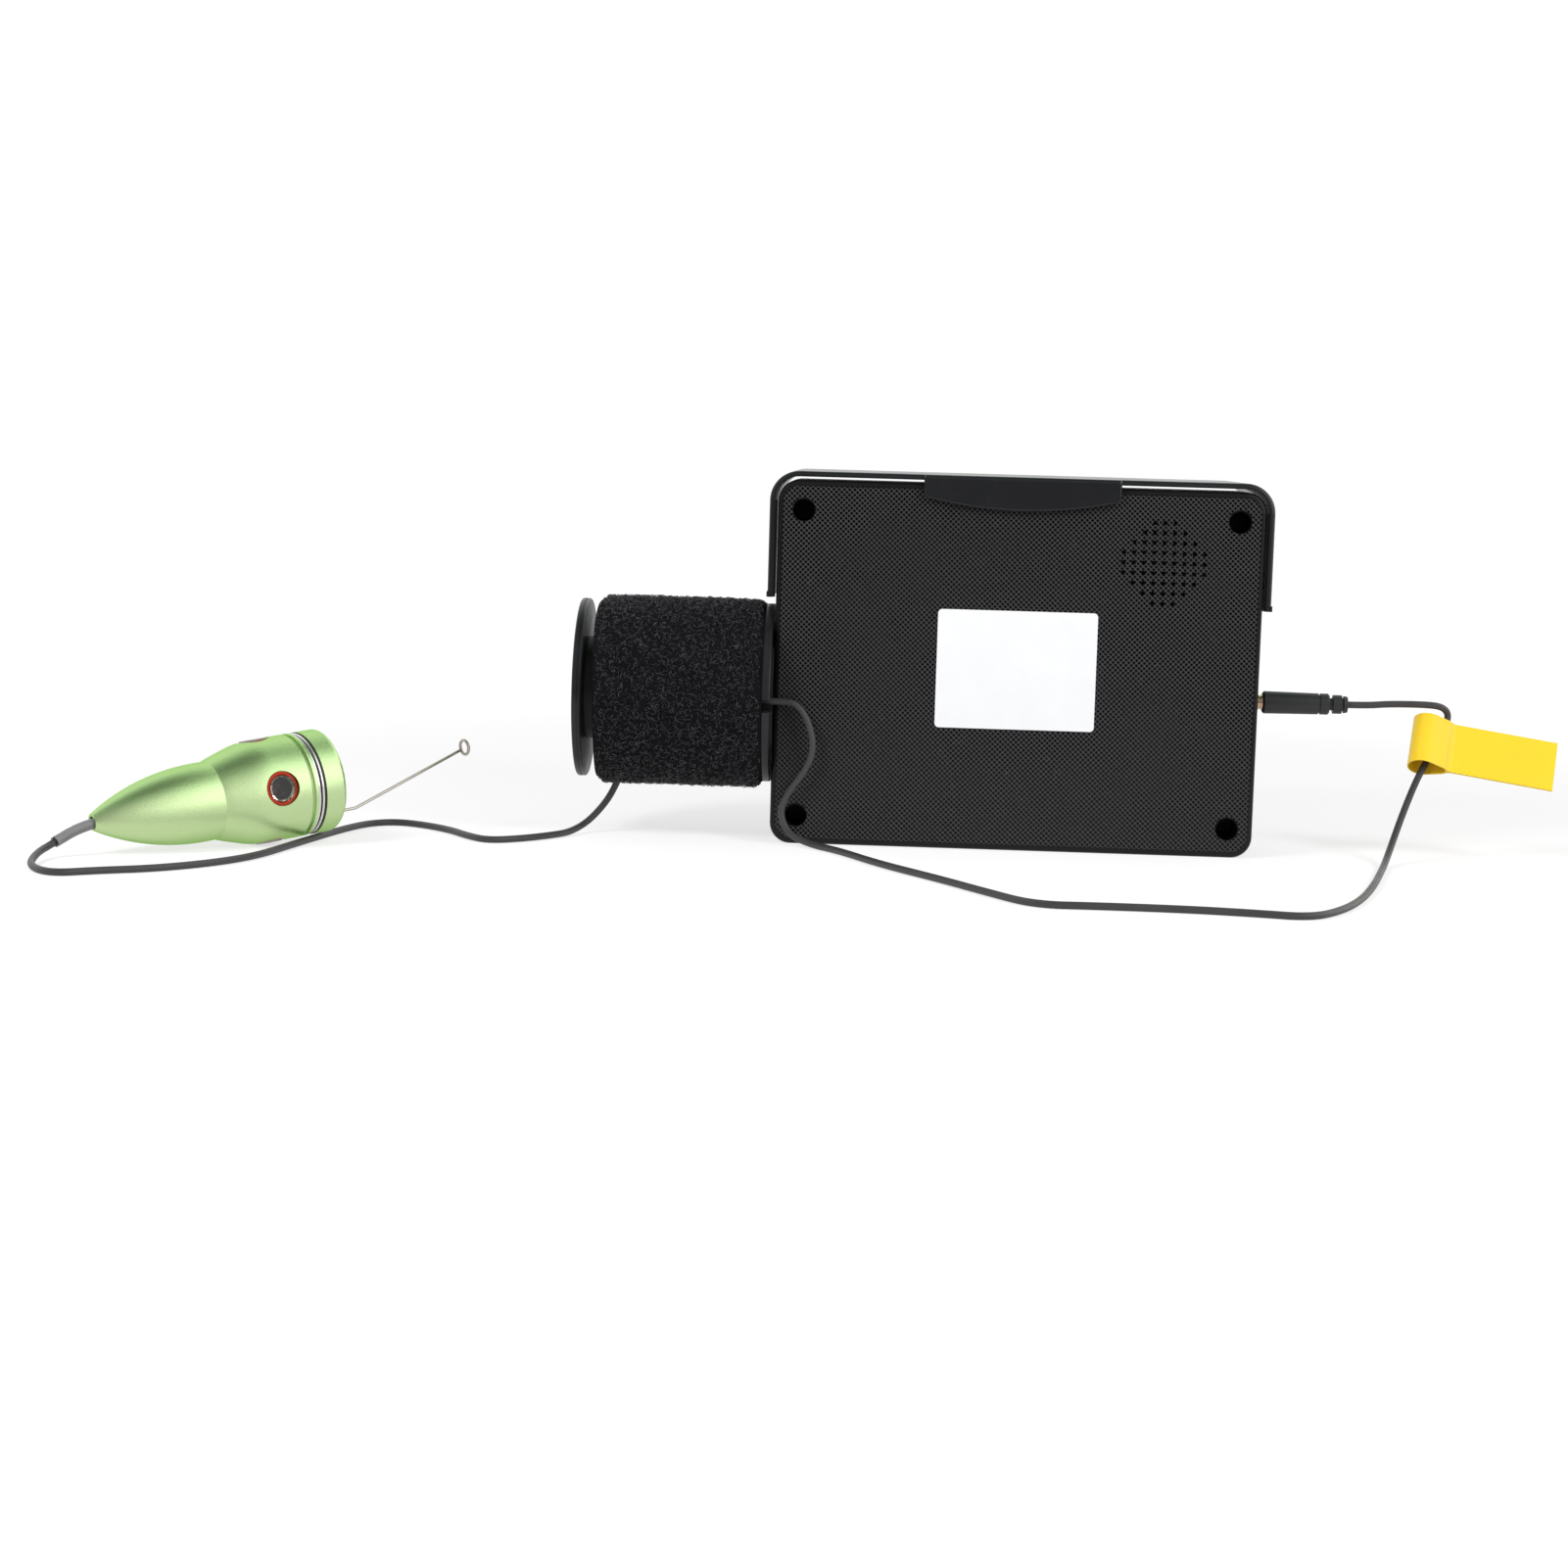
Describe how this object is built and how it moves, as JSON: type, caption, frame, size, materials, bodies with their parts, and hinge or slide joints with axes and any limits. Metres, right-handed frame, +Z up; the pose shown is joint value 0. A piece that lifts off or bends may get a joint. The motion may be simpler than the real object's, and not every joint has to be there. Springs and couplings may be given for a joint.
{
  "type": "fish finder",
  "caption": "Underwater fishing camera set: flat monitor with a slide-on sun hood, cable spool on its side, torpedo-shaped camera head and a plugged-in lead.",
  "frame": {"origin": "centre of the monitor's flat bottom face, on the surface that it stands on", "axes": "+X from the spool towards the plug, +Y out of the screen, +Z up"},
  "size_m": [0.4199, 0.1716, 0.1079],
  "materials": {
    "housing": "fine knurl on the back",
    "hood": "polished",
    "keys": "matt",
    "screen_cover": "clear over a black border",
    "display": "smooth",
    "board": "solder mask",
    "chip": "moulded",
    "switch": "moulded",
    "indicator": "clear",
    "cell": "foil",
    "foam": "foam",
    "speaker": "satin",
    "socket": "moulded",
    "socket_metal": "plated",
    "label": "printed film",
    "spool": "satin",
    "screw": "zinc",
    "strap": "fleecy loop tape",
    "cable": "satin",
    "head": "light green anodised",
    "ring": "polished",
    "seal": "smooth",
    "red_seal": "smooth",
    "window": "clear",
    "carrier": "moulded",
    "emitter": "diffuse",
    "lens": "smooth",
    "wire": "drawn",
    "sleeve": "clear grey",
    "contact": "plated",
    "grip": "matt",
    "tag": "film"
  },
  "bodies": {
    "set": {"rear_shell": "housing", "front_shell": "housing", "shell_screws": "screw", "screen_lens": "screen_cover", "lcd_panel": "display", "main_board": "board", "board_chips": "chip", "key_switches": "switch", "status_led": "indicator", "battery_pack": "cell", "battery_pad": "foam", "speaker": "speaker", "av_jack": "socket", "charge_socket": "socket_metal", "rating_label": "label", "inner_flange": "spool", "outer_flange": "spool", "spool_core": "spool", "spool_mount_screws": "screw", "cover_screws": "screw", "cable_winding": "cable", "wrap_strap": "strap", "head_body": "head", "steel_rings": "ring", "cap_seal": "seal", "front_cap": "head", "front_glass": "window", "window_seals": "red_seal", "window_lenses": "window", "lamp_carrier": "carrier", "lamp_boards": "board", "lamp_emitters": "emitter", "camera_board": "board", "camera_module": "lens", "ring_lamps": "emitter", "wire_arm": "wire", "shrink_sleeve": "sleeve", "camera_cable": "cable", "monitor_lead": "cable", "plug_shank": "contact", "plug_body": "grip", "strain_relief": "grip", "length_tag": "tag"},
    "hood": {"sun_hood": "hood"},
    "power_key": {"power_button": "keys"},
    "menu_key": {"menu_button": "keys"},
    "up_key": {"up_button": "keys"},
    "down_key": {"down_button": "keys"},
    "record_key": {"record_button": "keys"}
  },
  "joints": [
    {"name": "hood_lift", "type": "slide", "parent": "set", "child": "hood", "axis": [0, 0, 1], "range_m": [0, 0.045]},
    {"name": "power_press", "type": "slide", "parent": "set", "child": "power_key", "axis": [0, -1, 0], "range_m": [0, 0.0006], "stiffness_N_per_m": 800, "springref_m": -0.0006},
    {"name": "menu_press", "type": "slide", "parent": "set", "child": "menu_key", "axis": [0, -1, 0], "range_m": [0, 0.0006], "stiffness_N_per_m": 800, "springref_m": -0.0006},
    {"name": "up_press", "type": "slide", "parent": "set", "child": "up_key", "axis": [0, -1, 0], "range_m": [0, 0.0006], "stiffness_N_per_m": 800, "springref_m": -0.0006},
    {"name": "down_press", "type": "slide", "parent": "set", "child": "down_key", "axis": [0, -1, 0], "range_m": [0, 0.0006], "stiffness_N_per_m": 800, "springref_m": -0.0006},
    {"name": "record_press", "type": "slide", "parent": "set", "child": "record_key", "axis": [0, -1, 0], "range_m": [0, 0.0006], "stiffness_N_per_m": 800, "springref_m": -0.0006}
  ]
}
